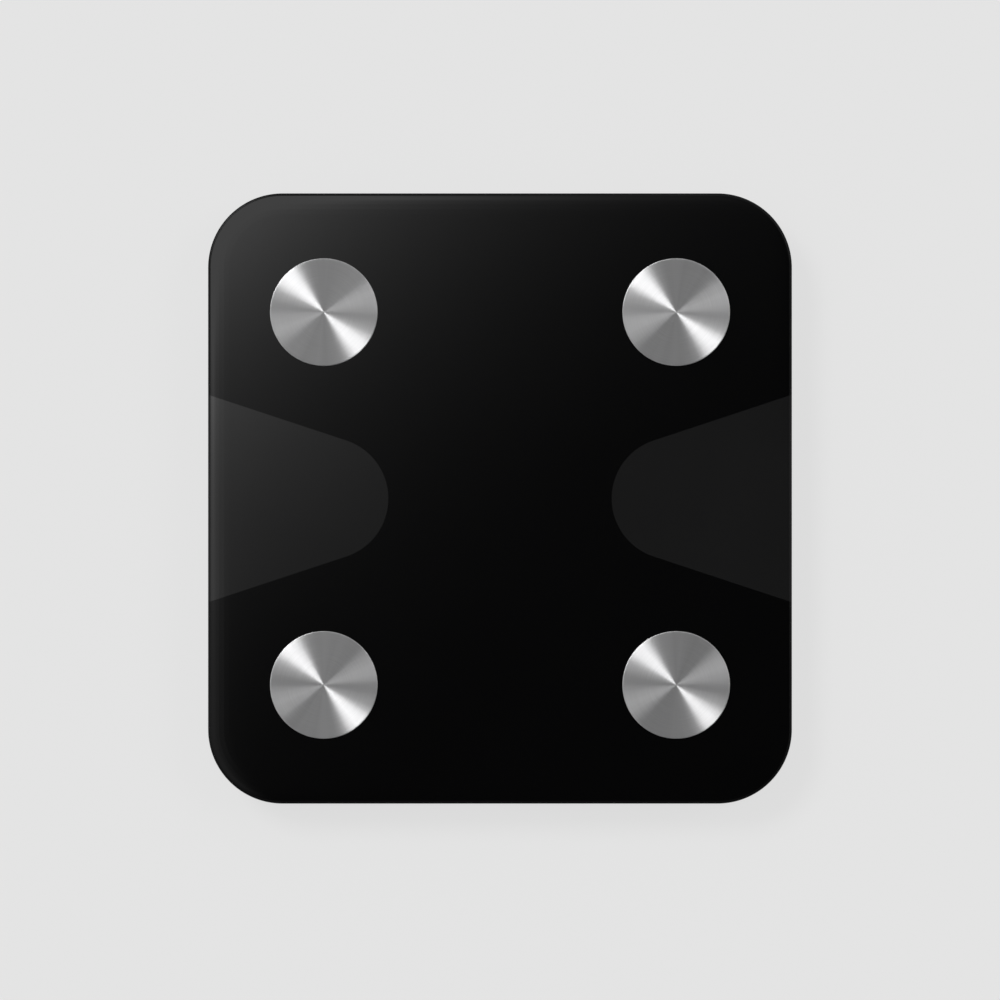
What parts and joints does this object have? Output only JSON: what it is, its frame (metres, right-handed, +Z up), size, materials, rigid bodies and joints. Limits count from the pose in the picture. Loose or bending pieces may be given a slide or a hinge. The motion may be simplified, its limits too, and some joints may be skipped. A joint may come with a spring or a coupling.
{
  "type": "digital bathroom scale",
  "caption": "Flat electronic bathroom scale: black bonded glass platform with round brushed steel electrodes, on a moulded tray with load-cell feet, battery door and unit button.",
  "frame": {"origin": "on the floor, under the middle of the platform", "axes": "+Z up, +Y towards the display side, +X to the right of somebody standing on it"},
  "size_m": [0.287, 0.3, 0.026],
  "materials": {
    "black_glass": "polished, printed black behind",
    "black_print": "smooth ink film",
    "grey_print": "smooth ink film",
    "smoked_window": "smoked, see-through when lit",
    "foam_tape": "closed-cell foam",
    "adhesive": "clear grey adhesive",
    "spun_steel": "spun brushed",
    "plated_steel": "zinc plated",
    "cell_steel": "nickel plated",
    "black_abs": "fine spark-eroded texture",
    "door_abs": "fine spark-eroded texture",
    "button_plastic": "satin",
    "foot_plastic": "satin",
    "foot_rubber": "matt rubber",
    "sealing_compound": "silicone",
    "board_laminate": "solder mask",
    "chip_resin": "moulded resin",
    "socket_plastic": "nylon",
    "display_plastic": "satin",
    "display_segment": "frosted",
    "battery_jacket": "printed sleeve, plain",
    "grey_lead": "sleeved wire",
    "red_lead": "sleeved wire"
  },
  "bodies": {
    "platform": {"glass_platform": "black_glass", "print_film": "black_print", "side_panel_left": "grey_print", "side_panel_right": "grey_print", "display_window": "smoked_window", "rim_tape": "foam_tape", "support_tapes": "foam_tape", "electrode_pads": "adhesive", "electrode_clamp_nuts": "plated_steel", "electrode_lock_nuts": "plated_steel", "electrode_terminals": "plated_steel", "electrode_leads": "grey_lead", "base_tray": "black_abs", "strain_gauges": "sealing_compound", "load_cell_screws": "plated_steel", "main_board": "board_laminate", "board_screws": "plated_steel", "board_chips": "chip_resin", "lead_sockets": "socket_plastic", "display_housing": "display_plastic", "display_segments": "display_segment", "display_gasket": "foam_tape", "switch_body": "chip_resin", "battery_1": "battery_jacket", "battery_2": "battery_jacket", "battery_3": "battery_jacket", "battery_4": "battery_jacket", "battery_contacts": "plated_steel", "battery_leads": "red_lead", "electrode_front_left": "spun_steel", "load_cell_front_left": "cell_steel", "load_cell_leads_front_left": "grey_lead", "electrode_front_right": "spun_steel", "load_cell_front_right": "cell_steel", "load_cell_leads_front_right": "grey_lead", "electrode_rear_left": "spun_steel", "load_cell_rear_left": "cell_steel", "load_cell_leads_rear_left": "grey_lead", "electrode_rear_right": "spun_steel", "load_cell_rear_right": "cell_steel", "load_cell_leads_rear_right": "grey_lead"},
    "foot_front_left": {"foot_cup_front_left": "foot_plastic", "foot_pad_front_left": "foot_rubber", "load_button_front_left": "plated_steel"},
    "foot_front_right": {"foot_cup_front_right": "foot_plastic", "foot_pad_front_right": "foot_rubber", "load_button_front_right": "plated_steel"},
    "foot_rear_left": {"foot_cup_rear_left": "foot_plastic", "foot_pad_rear_left": "foot_rubber", "load_button_rear_left": "plated_steel"},
    "foot_rear_right": {"foot_cup_rear_right": "foot_plastic", "foot_pad_rear_right": "foot_rubber", "load_button_rear_right": "plated_steel"},
    "battery_door": {"battery_door": "door_abs"},
    "unit_button": {"unit_button": "button_plastic", "switch_plunger": "display_plastic"}
  },
  "joints": [
    {"name": "foot_front_left_slide", "type": "slide", "parent": "platform", "child": "foot_front_left", "axis": [0, 0, 1], "range_m": [-0.0008, 0]},
    {"name": "foot_front_right_slide", "type": "slide", "parent": "platform", "child": "foot_front_right", "axis": [0, 0, 1], "range_m": [-0.0008, 0]},
    {"name": "foot_rear_left_slide", "type": "slide", "parent": "platform", "child": "foot_rear_left", "axis": [0, 0, 1], "range_m": [-0.0008, 0]},
    {"name": "foot_rear_right_slide", "type": "slide", "parent": "platform", "child": "foot_rear_right", "axis": [0, 0, 1], "range_m": [-0.0008, 0]},
    {"name": "battery_door_hinge", "type": "hinge", "parent": "platform", "child": "battery_door", "pos_m": [0, 0.0253, 0.0056], "axis": [1, 0, 0], "range_deg": [0, 90]},
    {"name": "unit_button_press", "type": "slide", "parent": "platform", "child": "unit_button", "axis": [0, 0, 1], "range_m": [0, 0.0005], "stiffness_N_per_m": 800, "springref_m": -0.0005}
  ]
}
